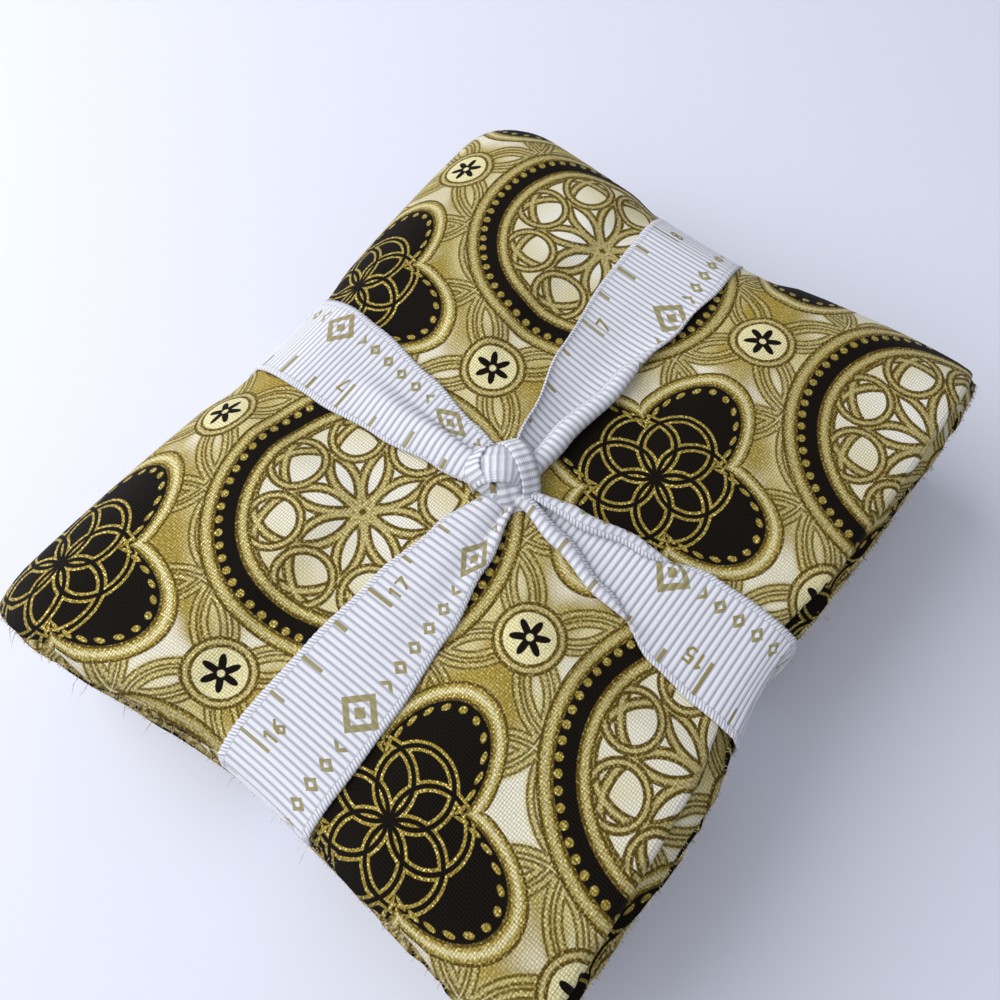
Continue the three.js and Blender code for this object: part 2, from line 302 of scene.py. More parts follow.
def tint(red, green, blue):
    """A screen colour, 0 to 255, as the linear colour that a shader takes."""
    linear = []
    for value in (red, green, blue):
        share = value / 255
        linear.append(share / 12.92 if share <= 0.04045 else ((share + 0.055) / 1.055) ** 2.4)
    return (*linear, 1.0)


def mixed(first, second, share):
    """Two colours, or wires of colour, mixed by a share from 0 to 1."""
    return share.add("Mix", {"data_type": "RGBA"}, {0: share, 6: first, 7: second}, output=2)


def mixed_value(first, second, share):
    return first * (1 - share) + second * share


def new_material(name, uv_name):
    """A material with its shader, and the two wires of its UV map, in mm."""
    material = bpy.data.materials.new(name)
    material.use_nodes = True
    tree = material.node_tree
    shader = tree.nodes["Principled BSDF"]
    start = Wire(tree, None).add("UVMap", {"uv_map": uv_name})
    split = start.add("SeparateXYZ", inputs={"Vector": start})
    other = Wire(tree, split.socket.node.outputs[1])
    return material, shader, split, other


def feed(shader, name, value):
    """Links a wire to the shader's socket, or sets the socket to a value."""
    if isinstance(value, Wire):
        value.tree.links.new(value.socket, shader.inputs[name])
    else:
        shader.inputs[name].default_value = value


def plain_material(name, colour, roughness):
    material = bpy.data.materials.new(name)
    material.use_nodes = True
    shader = material.node_tree.nodes["Principled BSDF"]
    feed(shader, "Base Color", colour)
    feed(shader, "Roughness", roughness)
    return material


print("shader maths is ready")

# %% [markdown]
# ### The cotton's print
# The cloth has a metallic print in gold, cream and near-black. This lesson draws a generic
# damask of its own: black four-lobed medallions with gold ring work, and round rosettes of
# interlaced straps with a black beaded border, on a satin gold ground. Everything is a
# distance in millimetres in one repeat, because straps, outlines and beads are all thresholds
# of a distance.

# %% The print's colours and ring work
REPEAT = 58.0
BLACK = tint(9, 7, 5)
CREAM = tint(255, 252, 238)
SATIN = tint(224, 210, 146)
STRAW = tint(246, 236, 182)
GOLD = tint(170, 147, 62)
DEEP_GOLD = tint(98, 78, 25)
GROUND_METAL = 0.45


def polar(x, y):
    radius = (x * x + y * y) ** 0.5
    return radius, x.math("ARCTAN2", y, x)


def hoops(x, y, count, away, size, turn=0.0):
    """The distance to a ring of overlapping hoops round the middle."""
    found = None
    for k in range(count):
        at = turn + k * 2 * math.pi / count
        hoop = abs(((x - away * math.cos(at)) ** 2 + (y - away * math.sin(at)) ** 2) ** 0.5 - size)
        found = hoop if found is None else found.least(hoop)
    return found


def ring_trellis(x, y, pitch, size):
    """The distance to overlapping rings on a square lattice."""
    near_x = abs((x / pitch).part() - 0.5) * pitch
    near_y = abs((y / pitch).part() - 0.5) * pitch
    found = None
    for at_x, at_y in ((0, 0), (pitch, 0), (0, pitch), (pitch, pitch)):
        ring = abs(((near_x - at_x) ** 2 + (near_y - at_y) ** 2) ** 0.5 - size)
        found = ring if found is None else found.least(ring)
    return found


def beads(radius, angle, count, middle, size):
    """Round beads on a ring; middle is the distance from the ring's own line."""
    turn = ((angle * (count / (2 * math.pi))).part() - 0.5) * (2 * math.pi / count)
    return ((turn * radius) ** 2 + middle**2) ** 0.5 - size


class Paint:
    """The print as it builds up: its colour, and how much of it is metallic ink."""

    def __init__(self, colour, metal):
        self.colour = colour
        self.metal = metal

    def over(self, colour, mask, metal):
        self.colour = mixed(self.colour, colour, mask)
        self.metal = self.metal * (1 - mask) + mask * metal

    def strap(self, distance, half, inside):
        """A gold strap with dark outlines along a line."""
        self.over(GOLD, distance.step(half, half - 0.12) * inside, 0.8)
        self.over(STRAW, distance.step(half * 0.7, half * 0.1) * inside * 0.45, 0.9)
        self.over(DEEP_GOLD, abs(distance - half).step(0.32, 0.14) * inside, 0.4)


# %% One repeat of the print
def draw_print(u, v, cloud):
    x = ((u / REPEAT).part() - 0.5) * REPEAT
    y = ((v / REPEAT).part() - 0.5) * REPEAT
    far_x = REPEAT / 2 - abs(x)
    far_y = REPEAT / 2 - abs(y)
    radius, angle = polar(x, y)
    far_radius, far_angle = polar(far_x, far_y)

    airbrush = (far_radius * 0.34).cosine() * 0.3 + cloud * 1.1 - 0.1
    ground = mixed(SATIN, STRAW, airbrush.step(0.35, 0.85))
    ground = mixed(ground, GOLD, airbrush.step(0.42, 0.05))
    paint = Paint(ground, GROUND_METAL)
    scrolls = ring_trellis(x + y + REPEAT / 2, x - y + REPEAT / 2, REPEAT / 3, 12.4)
    cells = (scrolls - 2.1).step(-0.6, 0.6) * (cloud * 2).step(0.9, 1.2)
    paint.over(CREAM, cells * 0.7, 0.1)
    paint.strap(abs(scrolls - 1.0), 0.62, 0.85)

    rosette = far_radius.step(16.2, 16.0)
    windows = mixed(CREAM, SATIN, (cloud * 0.9 + far_radius * 0.03).step(0.5, 1.1))
    paint.over(windows, rosette, 0.1)
    paint.strap(hoops(far_x, far_y, 8, 8.2, 7.4, math.pi / 8), 0.6, rosette)
    paint.strap(hoops(far_x, far_y, 8, 12.2, 3.9), 0.5, rosette)
    paint.over(BLACK, (far_radius - 18.6).line(2.5, 0.1), 0.0)
    paint.strap(abs(far_radius - 16.3), 0.8, 1.0)
    paint.strap(abs(far_radius - 21.3), 0.9, 1.0)
    paint.over(GOLD, beads(far_radius, far_angle, 62, far_radius - 19.6, 0.55).step(0.1, -0.1), 0.9)

    lobes = (angle * 4).cosine() * 2.6 + abs((angle * 2).cosine()) ** 0.5 * 3.4 + 11.8 - radius
    inside = lobes.step(-0.1, 0.1)
    paint.over(BLACK, inside, 0.0)
    ring_work = hoops(x, y, 6, 5.2, 5.0)
    paint.over(GOLD, abs(ring_work - 0.5).step(0.26, 0.12) * inside, 1.0)
    paint.over(GOLD, beads(radius, angle, 48, lobes - 1.3, 0.5).step(0.1, -0.1) * inside, 0.9)
    paint.strap(abs(lobes + 1.1), 1.2, 1.0)
    paint.over(STRAW, abs(lobes + 1.1).step(0.5, 0.2) * 0.6, 0.7)

    sprig_radius, sprig_angle = polar(abs(x).most(abs(y)) - REPEAT / 2, abs(x).least(abs(y)))
    paint.over(STRAW, sprig_radius.step(4.2, 4.0), 0.5)
    paint.strap(abs(sprig_radius - 4.3), 0.55, 1.0)
    petals = (sprig_radius - 1.9 - (sprig_angle * 6).cosine() * 0.85).step(0.1, -0.1)
    paint.over(BLACK, petals * sprig_radius.step(0.4, 0.6), 0.0)
    return paint


# %% [markdown]
# ### The cotton itself
# Quilting cotton is a plain weave, about sixty threads an inch. At this scale the weave shows,
# so it is drawn from the cut's millimetres: one lump where the warp lies on top and one where
# the weft does, with painted shade in the gaps between the threads. The metallic ink catches
# the light in specks, thread by thread: painted glints, bright and dark, in its colour, and a
# fine noise in its roughness.

# %% Printed cotton
WARP_MM = 0.44
WEFT_MM = 0.36


def printed_cotton(name, print_u=0.0, print_v=0.0):
    """Quilting cotton; the print starts somewhere else on every fat quarter."""
    material, shader, u, v = new_material(name, "cut")
    place = u.add("CombineXYZ", inputs={"X": u, "Y": v})
    cloud = place.add("TexNoise", inputs={"Vector": place, "Scale": 0.055, "Detail": 2.0})
    speck = place.add("TexNoise", inputs={"Vector": place, "Scale": 3.0, "Detail": 1.0})
    paint = draw_print(u + print_u, v + print_v, cloud)
    lumps = (u * (math.pi / WARP_MM)).sine() * (v * (math.pi / WEFT_MM)).sine()
    height = abs(lumps) ** 0.5
    # glint is a painted highlight: bright yellow specks of the metallic ink mixed into its colour; the
    # same specks also lower its roughness.
    glint = speck.step(0.54, 0.66) * paint.metal
    colour = mixed(paint.colour, tint(246, 232, 150), glint * 0.85)
    # shade is the weave's painted shade: darkest in the gaps between the threads, lighter on the
    # threads' lumps; below, it mixes the colour towards dark brown.
    shade = (height * 0.5 + lumps.step(-0.2, 0.2) * 0.1 + 0.52).least(1.0)
    # dark is painted dark specks of the metallic ink, the other half of its painted glints; below, they
    # darken its colour together with the weave's painted shade.
    dark = speck.step(0.46, 0.34) * paint.metal * 0.5
    colour = mixed(tint(46, 34, 14), colour, (shade * (1 - dark)))
    feed(shader, "Base Color", colour)
    feed(shader, "Metallic", paint.metal * 0.4)
    feed(shader, "Roughness", 0.72 - paint.metal * 0.22 - glint * 0.2)
    feed(shader, "Specular IOR Level", 0.08)
    bump = {"Height": height, "Strength": 0.6, "Distance": 0.00014}
    feed(shader, "Normal", height.add("Bump", inputs=bump))
    return material


cottons = [
    printed_cotton(f"printed_cotton_{i + 1}", shift_u, shift_v)
    for i, (shift_u, shift_v) in enumerate([(9, 31), (40, 12), (22, 47), (51, 5), (20, 33)])
]
print(len(cottons), "prints of one pattern, each cut at another place")

# %% [markdown]
# ## The fat quarters
# Each fat quarter is folded in four across its short side, then in six along its long side.
# The first fold gives four plies: two raw ends at the near side, a fold between them, and a
# turn round the far side. The second gives a strip that runs back and forth through six
# layers. Simulating five cloths of 24 plies each would take hours and still tangle, so the
# folds are laid out as a tailor would write them down: two lists of stations, one for each way.

# %% The plies and the layers as two lines
PLY = 0.25
CLOTH = 0.2
ROUTE = [(3, True, 4), (4, False, 5), (5, True, 2), (2, False, 1), (1, True, 6), (6, False, None)]
PACKET_TABLE = [
    {"x": 0.3, "y": 0.1, "turn": 0.2, "past": (0.2, 1.6, 0.6, 1.2)},
    {"x": -0.4, "y": -0.2, "turn": -0.3, "past": (0.7, 2.4, 0.0, 0.8)},
    {"x": 0.2, "y": 0.3, "turn": 0.3, "past": (0.0, 1.2, 0.9, 2.6)},
    {"x": -0.1, "y": -0.3, "turn": -0.2, "past": (0.4, 2.8, 0.3, 1.5)},
    {"x": 0.0, "y": 0.0, "turn": 0.0, "past": (0.0, 2.9, 0.5, 2.2)},
]
# How far a raw end is drawn in, at places along it, in mm.
RAW_SKEW = {"x": [-58, -50, -22, 3, 13, 58], "inward": [2.5, 2.2, 0.0, 0.0, 1.7, 1.9]}


def stations(low, high, trough, fine, coarse):
    """Places along the cloth, close together at its ends and beside the ribbon's trough."""
    places = [low]
    while places[-1] < high:
        at = places[-1]
        bends = abs(abs(at - trough) - 14) < 4.5 or min(at - low, high - at) < 11
        places.append(at + (fine if bends else coarse))
    places = np.array(places)
    return low + (places - low) * (high - low) / (places[-1] - low)


def ply_line(fine, coarse):
    """The cut's short way: rows of x, offset from the layer's middle and flat length, in mm."""
    line = []
    plies = [(1.5, 1), (-1.5, -1), (-0.5, 1), (0.5, -1)]
    reach = HALF_LENGTH - 1.5 * PLY
    shared = stations(-reach, reach, TROUGH_X, fine, coarse)
    for index, (offset, heading) in enumerate(plies):
        line += [(x, offset * PLY) for x in shared[::heading]]
        if index < 3:
            target = plies[index + 1][0]
            radius = abs(target - offset) / 2 * PLY
            centre = (offset + target) / 2 * PLY
            side = np.sign(offset - target)
            for angle in np.radians([60, 30, 0, -30, -60]):
                out, up = radius * math.cos(angle), radius * math.sin(angle)
                line.append((heading * (reach + out), centre + side * up))
    line = np.array(line)
    line[0, 0] -= 1.5 * PLY
    line[-1, 0] -= 1.5 * PLY
    steps = np.hypot(*np.diff(line, axis=0).T)
    return np.column_stack([line, np.concatenate([[0], np.cumsum(steps)])])


def layer_line(packet, base, fine, coarse):
    """The cut's long way: rows of y, z, normal y, normal z and flat length, in mm."""
    layer_z = [None] + [base + PACKET_HEIGHT - LAYER / 2 - i * PITCH_OF_LAYERS for i in range(LAYERS)]
    upper_fold, inner_raw, lower_fold, outer_raw = packet["past"]
    past = [None, upper_fold, upper_fold, inner_raw, lower_fold, lower_fold, outer_raw]
    line = []
    shared = stations(OPEN_LINE, SPINE_LINE, TROUGH_Y, fine, coarse)
    for layer, to_spine, following in ROUTE:
        open_end = OPEN_LINE - past[layer] - (OPEN_RADIUS if layer in (3, 6) else 0)
        ends = (open_end, SPINE_LINE) if to_spine else (SPINE_LINE, open_end)
        heading = 1 if to_spine else -1
        run = np.concatenate([[open_end], shared[shared > open_end + 0.4]])
        line += [(y, layer_z[layer], 0, heading) for y in run[::heading]]
        if following:
            z0, z1 = layer_z[layer], layer_z[following]
            radius = abs(z0 - z1) / 2
            side = np.sign(z0 - z1)
            turns = 4 + 2 * round(radius / PITCH_OF_LAYERS * 2)
            for angle in np.linspace(math.pi / 2, -math.pi / 2, turns + 1)[1:-1]:
                out_y, out_z = heading * math.cos(angle), side * math.sin(angle)
                outward = heading * side
                line.append((
                    ends[1] + radius * out_y, (z0 + z1) / 2 + radius * out_z,
                    outward * out_y, outward * out_z,
                ))
    line = np.array(line)
    steps = np.hypot(*np.diff(line[:, :2], axis=0).T)
    return np.column_stack([line, np.concatenate([[0], np.cumsum(steps)])])


def fat_quarter(index, fine, coarse):
    packet = PACKET_TABLE[index]
    plies = ply_line(fine, coarse)
    layers = layer_line(packet, index * PACKET_RISE, fine, coarse)
    x = plies[None, :, 0] + np.zeros((len(layers), 1))
    offset = plies[None, :, 1]
    y = layers[:, None, 0] + layers[:, None, 2] * offset
    z = layers[:, None, 1] + layers[:, None, 3] * offset
    wander = ragged(plies[:, 2])
    skew = np.interp(plies[:, 0], RAW_SKEW["x"], RAW_SKEW["inward"])
    skew = skew * (1 if index >= PACKETS - 2 else 0.3)
    y[0] += wander[0] + skew
    y[-1] += wander[1] + skew * 0.6
    x[:, 0] += ragged(layers[:, 4])[0]
    x[:, -1] += ragged(layers[:, 4])[0]
    angle = math.radians(packet["turn"])
    turned = np.stack([
        x * math.cos(angle) - y * math.sin(angle) + packet["x"],
        x * math.sin(angle) + y * math.cos(angle) + packet["y"],
        z,
    ], axis=-1)
    flat = np.stack(np.broadcast_arrays(plies[None, :, 2], layers[:, None, 4]), axis=-1)
    name = f"folded_fat_quarter_{index + 1}"
    points = settle(turned)
    piece = strip(name, points, flat, cottons[index], CLOTH)
    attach(piece, "root")
    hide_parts(f"fat_quarter_{index + 1}")
    size = flat.reshape(-1, 2).max(axis=0)
    print(name, "cut", np.round(size), "mm,", len(piece.data.polygons), "faces")
    return piece, points


# %% [markdown]
# Fat quarters are cut, not hemmed. Their raw edges wander a little and shed short ends of yarn.
# Each end is a thin three-sided spike that leans at random, and a few long ones hang loose.

# %% Raw edges
YARN = 0.05
LOWEST_YARN = 0.05
LOOSE_SHARE = 0.0025


def ragged(places):
    """Two gentle wanders of a raw edge, in mm."""
    phase = dice.uniform(0, 6.3, 6)
    first = 0.3 * np.sin(places / 5.1 + phase[0]) + 0.32 * np.sign(np.sin(places / 2.3 + phase[1]))
    second = 0.3 * np.sin(places / 4.7 + phase[2]) + 0.32 * np.sign(np.sin(places / 2.6 + phase[3]))
    return first, second


def yarn_ends(edge, inner, spacing, longest):
    """Spikes along an edge: rows of start, direction and length, in mm."""
    lengths = np.concatenate([[0], np.cumsum(np.linalg.norm(np.diff(edge, axis=0), axis=1))])
    places = np.arange(0, lengths[-1], spacing)
    places = places + dice.uniform(-0.3, 0.3, len(places)) * spacing
    start = np.column_stack([np.interp(places, lengths, column) for column in edge.T])
    behind = np.column_stack([np.interp(places, lengths, column) for column in inner.T])
    out = start - behind
    out /= np.linalg.norm(out, axis=1, keepdims=True)
    lean = dice.normal(0, 0.45, start.shape) * np.array([1, 1, 0.5])
    reach = dice.uniform(0.1, 1.0, len(places)) ** 2 * longest
    loose = dice.uniform(0, 1, len(places)) < LOOSE_SHARE
    reach = np.where(loose, dice.uniform(1.5, 3.5, len(places)), reach)
    return np.column_stack([start - out * 0.25, out + lean, reach + 0.3])


def yarn_mesh(name, ends, material):
    """Three-sided spikes that bend once on the way."""
    start, heading, reach = ends[:, :3], ends[:, 3:6], ends[:, 6:7]
    heading = heading / np.linalg.norm(heading, axis=1, keepdims=True)
    side = np.cross(heading, [0, 0, 1.0])
    side /= np.maximum(np.linalg.norm(side, axis=1, keepdims=True), 1e-6)
    top = np.cross(side, heading)
    bend = dice.normal(0, 0.22, (len(ends), 1)) * side - 0.1 * np.array([0, 0, 1.0])
    rings = []
    for share, width in ((0, 1.0), (0.55, 0.8), (1.0, 0.35)):
        centre = start + heading * reach * share + bend * reach * share**2
        for angle in (0, 2.094, 4.189):
            rings.append(centre + (side * math.cos(angle) + top * math.sin(angle)) * YARN * width)
    points = np.stack(rings, axis=1)
    points[..., 2] = np.maximum(points[..., 2], LOWEST_YARN)
    base = np.arange(len(ends))[:, None] * 9
    faces = []
    for ring in (0, 3):
        for k in range(3):
            quad = [ring + k, ring + (k + 1) % 3, ring + 3 + (k + 1) % 3, ring + 3 + k]
            faces.append(base + np.array(quad)[None, :])
    faces = np.concatenate(faces).tolist()
    faces += (base + np.array([[2, 1, 0]])).tolist() + (base + np.array([[6, 7, 8]])).tolist()
    piece = new_piece(name, points, faces, material)
    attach(piece, "root")
    return piece


def yarn_cotton():
    material = plain_material("frayed_yarn", tint(214, 200, 164), 0.9)
    shader = material.node_tree.nodes["Principled BSDF"]
    place = Wire(material.node_tree, None).add("TexCoord", output=3)
    noise = place.add("TexNoise", inputs={"Vector": place, "Scale": 900.0, "Detail": 1.0})
    colour = mixed(tint(120, 98, 62), tint(214, 200, 164), noise.step(0.35, 0.6))
    feed(shader, "Base Color", colour)
    return material


# %% Fold the five fat quarters
frayed_yarn = yarn_cotton()
STEPS_TOP = (1.7, 4.2)
STEPS_MIDDLE = (3.0, 12.0)
STEPS_BOTTOM = (2.4, 8.0)
# Yarn ends: their spacing on the top packet, on the others, and the longest, in mm.
FRAYS_AT_ENDS = (0.24, 0.8, 0.8)
FRAYS_AT_SIDES = (0.3, 1.0, 0.6)
for index in range(PACKETS):
    steps = STEPS_TOP if index == PACKETS - 1 else STEPS_BOTTOM if index == 0 else STEPS_MIDDLE
    piece, points = fat_quarter(index, *steps)
    top = index == PACKETS - 1
    ends = []
    for row, inner in ((0, 1), (-1, -2)):
        spacing = FRAYS_AT_ENDS[0 if top else 1]
        ends.append(yarn_ends(points[row], points[inner], spacing, FRAYS_AT_ENDS[2]))
    for column, inner in ((0, 1), (-1, -2)):
        spacing = FRAYS_AT_SIDES[0 if top else 1]
        ends.append(yarn_ends(points[:, column], points[:, inner], spacing, FRAYS_AT_SIDES[2]))
    frays = yarn_mesh(f"frayed_edges_{index + 1}", np.vstack(ends), frayed_yarn)
    print(frays.name, len(frays.data.polygons), "faces")

# %% [markdown]
# ## The ribbon
# Grosgrain is a narrow ribbed cloth: thick weft cords run across it, about one every
# millimetre, and its edges are finished with tiny loops. On a ribbon this narrow the ribs are
# the look, so they are real geometry here. Each band is a loop round the bundle that starts
# and ends at the knot. Its flat section bends into folds near the knot, and a short table for
# each of the four arms says how, at several distances from the knot.

# %% Where the ribbon goes
RIBBON_WIDTH = 16.0
RIBBON_HALF = RIBBON_WIDTH / 2
RIBBON_THICK = 0.3
RIB_PITCH = 1.03
RIB_HEIGHT = 0.1
RIB_STEPS = 4
EDGE_LOOP = 0.07
RIBBON_COLUMNS = 31
LOWEST_RIBBON = 0.3
FIRST_INCH = 6
INCH = 25.4
QUARTER_INCH = 6.35
TICK_AT = 3.0
RIBBON_INK = tint(142, 130, 62)
KNOT = np.array([-4.0, -4.0])
SIDE_STATIONS = np.array([-8, -6.5, -5, -3.5, -1.5, 0, 1.5, 3.5, 5, 6.5, 8])

# Each row: distance from the knot, then across and height at every one of the stations.
ARMS = {
    "upper_right": [
        (2, [0.3, -0.7, -2.2, -2.4, -0.9, 0.0, 0.7, 1.5, 2.1, 2.4, 2.0],
         [1.2, 2.4, 2.0, 0.4, 0.1, 0.2, 0.5, 1.0, 1.5, 2.0, 2.3]),
        (10, [-0.1, -1.1, -3.1, -3.3, -1.2, 0.0, 1.0, 2.2, 3.1, 3.6, 3.4],
         [0.9, 2.3, 2.0, 0.3, -0.1, 0.1, 0.4, 1.0, 1.5, 2.0, 2.4]),
        (22, [-2.5, -3.3, -5.1, -5.0, -2.0, 0.0, 1.5, 3.4, 4.7, 5.6, 6.1],
         [0.7, 1.9, 1.7, 0.2, -0.1, 0.0, 0.3, 0.7, 1.0, 1.3, 1.7]),
        (38, [-6.4, -6.8, -5.6, -3.9, -1.7, 0.0, 1.6, 3.8, 5.4, 6.8, 7.8],
         [0.6, 0.3, 0.0, 0.0, 0.0, 0.0, 0.1, 0.2, 0.3, 0.4, 0.6]),
        (50, [-8.0, -6.5, -5.0, -3.5, -1.5, 0.0, 1.5, 3.5, 5.0, 6.5, 8.0], [0.0] * 11),
    ],
    "lower_left": [
        (2, [-2.4, -2.2, -1.7, -1.3, -0.7, 0.0, 0.5, 1.1, 1.6, 2.0, 2.3],
         [0.2, 0.7, 0.3, -0.1, 0.5, 0.7, 0.8, 0.7, 0.5, 0.2, -0.1]),
        (11, [-4.6, -4.0, -3.2, -2.3, -0.9, 0.1, 1.0, 2.3, 3.2, 4.0, 4.7],
         [0.1, 0.4, 0.2, -0.1, 0.3, 0.5, 0.5, 0.4, 0.3, 0.1, 0.0]),
        (21, [-6.5, -5.4, -4.2, -2.9, -1.2, 0.0, 1.2, 2.9, 4.2, 5.4, 6.5],
         [0.0, 0.2, 0.1, 0.0, 0.2, 0.3, 0.3, 0.2, 0.1, 0.0, 0.0]),
        (34, [-7.6, -6.2, -4.8, -3.3, -1.4, 0.0, 1.4, 3.3, 4.8, 6.2, 7.6],
         [0.0, 0.0, 0.1, 0.1, 0.1, 0.1, 0.1, 0.1, 0.0, 0.0, 0.0]),
        (45, [-8.0, -6.5, -5.0, -3.5, -1.5, 0.0, 1.5, 3.5, 5.0, 6.5, 8.0], [0.0] * 11),
    ],
    "upper_left": [
        (3, [-3.0, -2.8, -2.0, -0.9, 0.6, 0.8, 0.6, 1.3, 2.0, 2.6, 3.2],
         [0.0, 0.7, 1.4, 1.7, 1.5, 0.9, 0.3, 0.1, 0.1, 0.1, 0.0]),
        (10, [-4.3, -3.9, -3.0, -1.8, -0.1, 0.5, 0.6, 1.6, 2.5, 3.4, 4.3],
         [0.0, 0.2, 0.9, 1.7, 1.9, 0.9, 0.2, 0.1, 0.1, 0.1, 0.0]),
        (20, [-6.1, -5.2, -4.1, -2.9, -1.1, 0.1, 1.0, 2.5, 3.7, 4.9, 6.1],
         [0.0, 0.1, 0.4, 0.9, 1.3, 0.7, 0.1, 0.0, 0.0, 0.0, 0.0]),
        (32, [-7.6, -6.2, -4.8, -3.4, -1.4, 0.0, 1.4, 3.3, 4.7, 6.1, 7.6],
         [0.0, 0.0, 0.1, 0.1, 0.2, 0.1, 0.0, 0.0, 0.0, 0.0, 0.0]),
        (40, [-8.0, -6.5, -5.0, -3.5, -1.5, 0.0, 1.5, 3.5, 5.0, 6.5, 8.0], [0.0] * 11),
    ],
    "lower_right": [
        (3, [0.2, -0.9, -1.6, -1.3, -0.5, 0.0, 0.5, 1.2, 1.6, 1.0, 0.2],
         [1.2, 1.4, 0.8, 0.3, 0.1, 0.1, 0.1, 0.3, 0.9, 1.5, 1.4]),
        (10, [-0.8, -1.7, -3.2, -3.1, -1.0, 0.0, 1.0, 3.0, 3.2, 1.8, 0.9],
         [0.6, 1.6, 1.4, 0.2, -0.1, -0.2, -0.1, 0.2, 1.4, 1.7, 0.7]),
        (19, [-3.2, -4.1, -5.2, -4.7, -1.8, 0.0, 1.8, 4.6, 5.2, 4.2, 3.3],
         [0.6, 1.3, 1.0, 0.1, -0.1, -0.2, -0.1, 0.1, 1.0, 1.3, 0.6]),
        (30, [-7.4, -6.3, -4.9, -3.4, -1.5, 0.0, 1.5, 3.4, 4.9, 6.3, 7.4],
         [0.3, 0.1, 0.0, 0.0, 0.0, 0.0, 0.0, 0.0, 0.0, 0.1, 0.3]),
        (37, [-8.0, -6.5, -5.0, -3.5, -1.5, 0.0, 1.5, 3.5, 5.0, 6.5, 8.0], [0.0] * 11),
    ],
}


def arm_section(arm, distance, sides):
    """Across and height, in mm, for points at this distance from the knot and at these sides."""
    rows = ARMS[arm]
    at = np.array([row[0] for row in rows], float)
    curves = []
    for column in (1, 2):
        table = np.array([np.interp(sides, SIDE_STATIONS, row[column]) for row in rows])
        kernel = np.array([1, 2, 1]) / 4
        table[:, 1:-1] = np.apply_along_axis(lambda r: np.convolve(r, kernel, "valid"), 1, table)
        place = np.clip(np.searchsorted(at, distance) - 1, 0, len(at) - 2)
        share = smooth(distance, at[place], at[place + 1])
        curves.append(blend(table[place], table[place + 1], share[:, None]))
    return curves


def loop_line(low, high, low_radius, high_radius, start):
    """Once round the flat stack from the knot, as rows of u, z and the outward direction."""
    points = []

    def straight(u0, z0, u1, z1, out_u, out_z):
        for t in np.linspace(0, 1, 40, endpoint=False):
            points.append((blend(u0, u1, t), blend(z0, z1, t), out_u, out_z))

    def corner(u, z, radius, degrees):
        for angle in np.radians(np.linspace(degrees, degrees - 90, 16, endpoint=False)):
            out_u, out_z = math.cos(angle), math.sin(angle)
            points.append((u + radius * out_u, z + radius * out_z, out_u, out_z))

    top = STACK_HEIGHT
    straight(start, top, high - high_radius, top, 0, 1)
    corner(high - high_radius, top - high_radius, high_radius, 90)
    straight(high, top - high_radius, high, high_radius, 1, 0)
    corner(high - high_radius, high_radius, high_radius, 0)
    straight(high - high_radius, 0, low + low_radius, 0, 0, -1)
    corner(low + low_radius, low_radius, low_radius, -90)
    straight(low, low_radius, low, top - low_radius, -1, 0)
    corner(low + low_radius, top - low_radius, low_radius, 180)
    straight(low + low_radius, top, start, top, 0, 1)
    points.append((start, top, 0, 1))
    return np.array(points)


def resampled(line, step):
    """The same line with even steps, and the length so far as its last column."""
    length = np.concatenate([[0], np.cumsum(np.hypot(*np.diff(line[:, :2], axis=0).T))])
    even = np.arange(0, length[-1], step)
    return np.column_stack([np.interp(even, length, column) for column in line.T] + [even])


# %% [markdown]
# The ribs are added last, along the finished strip's own normals, so that they follow every
# fold. The outermost column of points swings out with each rib, which makes the looped edge.

# %% Ribs and looped edges
def with_ribs(points, along):
    swell = np.cos(along * (2 * math.pi / RIB_PITCH))[:, None, None] * RIB_HEIGHT / 2
    ribbed = points + normals_of(points) * swell
    loops = (np.cos(along * (2 * math.pi / RIB_PITCH)) * 0.5 + 0.5)[:, None] * EDGE_LOOP
    for edge, inner in ((0, 1), (-1, -2)):
        out = ribbed[:, edge] - ribbed[:, inner]
        ribbed[:, edge] += out / np.maximum(np.linalg.norm(out, axis=-1, keepdims=True), 1e-9) * loops
    return ribbed


BANDS = {
    "lengthwise": {
        "low": -HALF_LENGTH - 0.3, "high": HALF_LENGTH + 0.3, "out": 0.25,
        "low_radius": 0.8, "high_radius": 1.0, "low_edge": -3.9, "high_edge": 0.0,
        "low_arm": "lower_left", "high_arm": "upper_right", "half_span": HALF_LENGTH,
        "knot_u": KNOT[0], "knot_w": KNOT[1], "rest_w": TROUGH_Y,
    },
    "crosswise": {
        "low": -HALF_WIDTH - 3.3, "high": HALF_WIDTH + 0.3, "out": 0.6,
        "low_radius": 2.5, "high_radius": 3.4, "low_edge": -4.8, "high_edge": -1.8,
        "low_arm": "lower_right", "high_arm": "upper_left", "half_span": HALF_WIDTH,
        "knot_u": KNOT[1], "knot_w": KNOT[0], "rest_w": TROUGH_X,
    },
}


def band_points(band, line, sides):
    """The band's middle surface: one row for each point of the line, one column a side."""
    u, z, out_u, out_z = (line[:, i] for i in range(4))
    high = u > band["knot_u"]
    distance = np.abs(u - band["knot_u"])
    on_top = smooth(z, STACK_HEIGHT * 0.8, STACK_HEIGHT)
    span = np.where(high, band["half_span"] - band["knot_u"], band["half_span"] + band["knot_u"])
    share = np.clip(distance / span, 0, 1)
    edge = np.where(high, band["high_edge"], band["low_edge"])
    centre = blend(band["rest_w"], blend(band["knot_w"], edge, share), smooth(z, 0, STACK_HEIGHT))
    across_high, height_high = arm_section(band["high_arm"], distance, sides)
    across_low, height_low = arm_section(band["low_arm"], distance, sides)
    pick = high[:, None]
    across = np.where(pick, across_high, across_low)
    height = np.where(pick, height_high, height_low)
    across = blend(sides[None, :], across, on_top[:, None]) + centre[:, None]
    away = band["out"] + height * on_top[:, None]
    flat_u = u[:, None] + out_u[:, None] * away
    flat_z = z[:, None] + out_z[:, None] * away
    return flat_u, across, flat_z


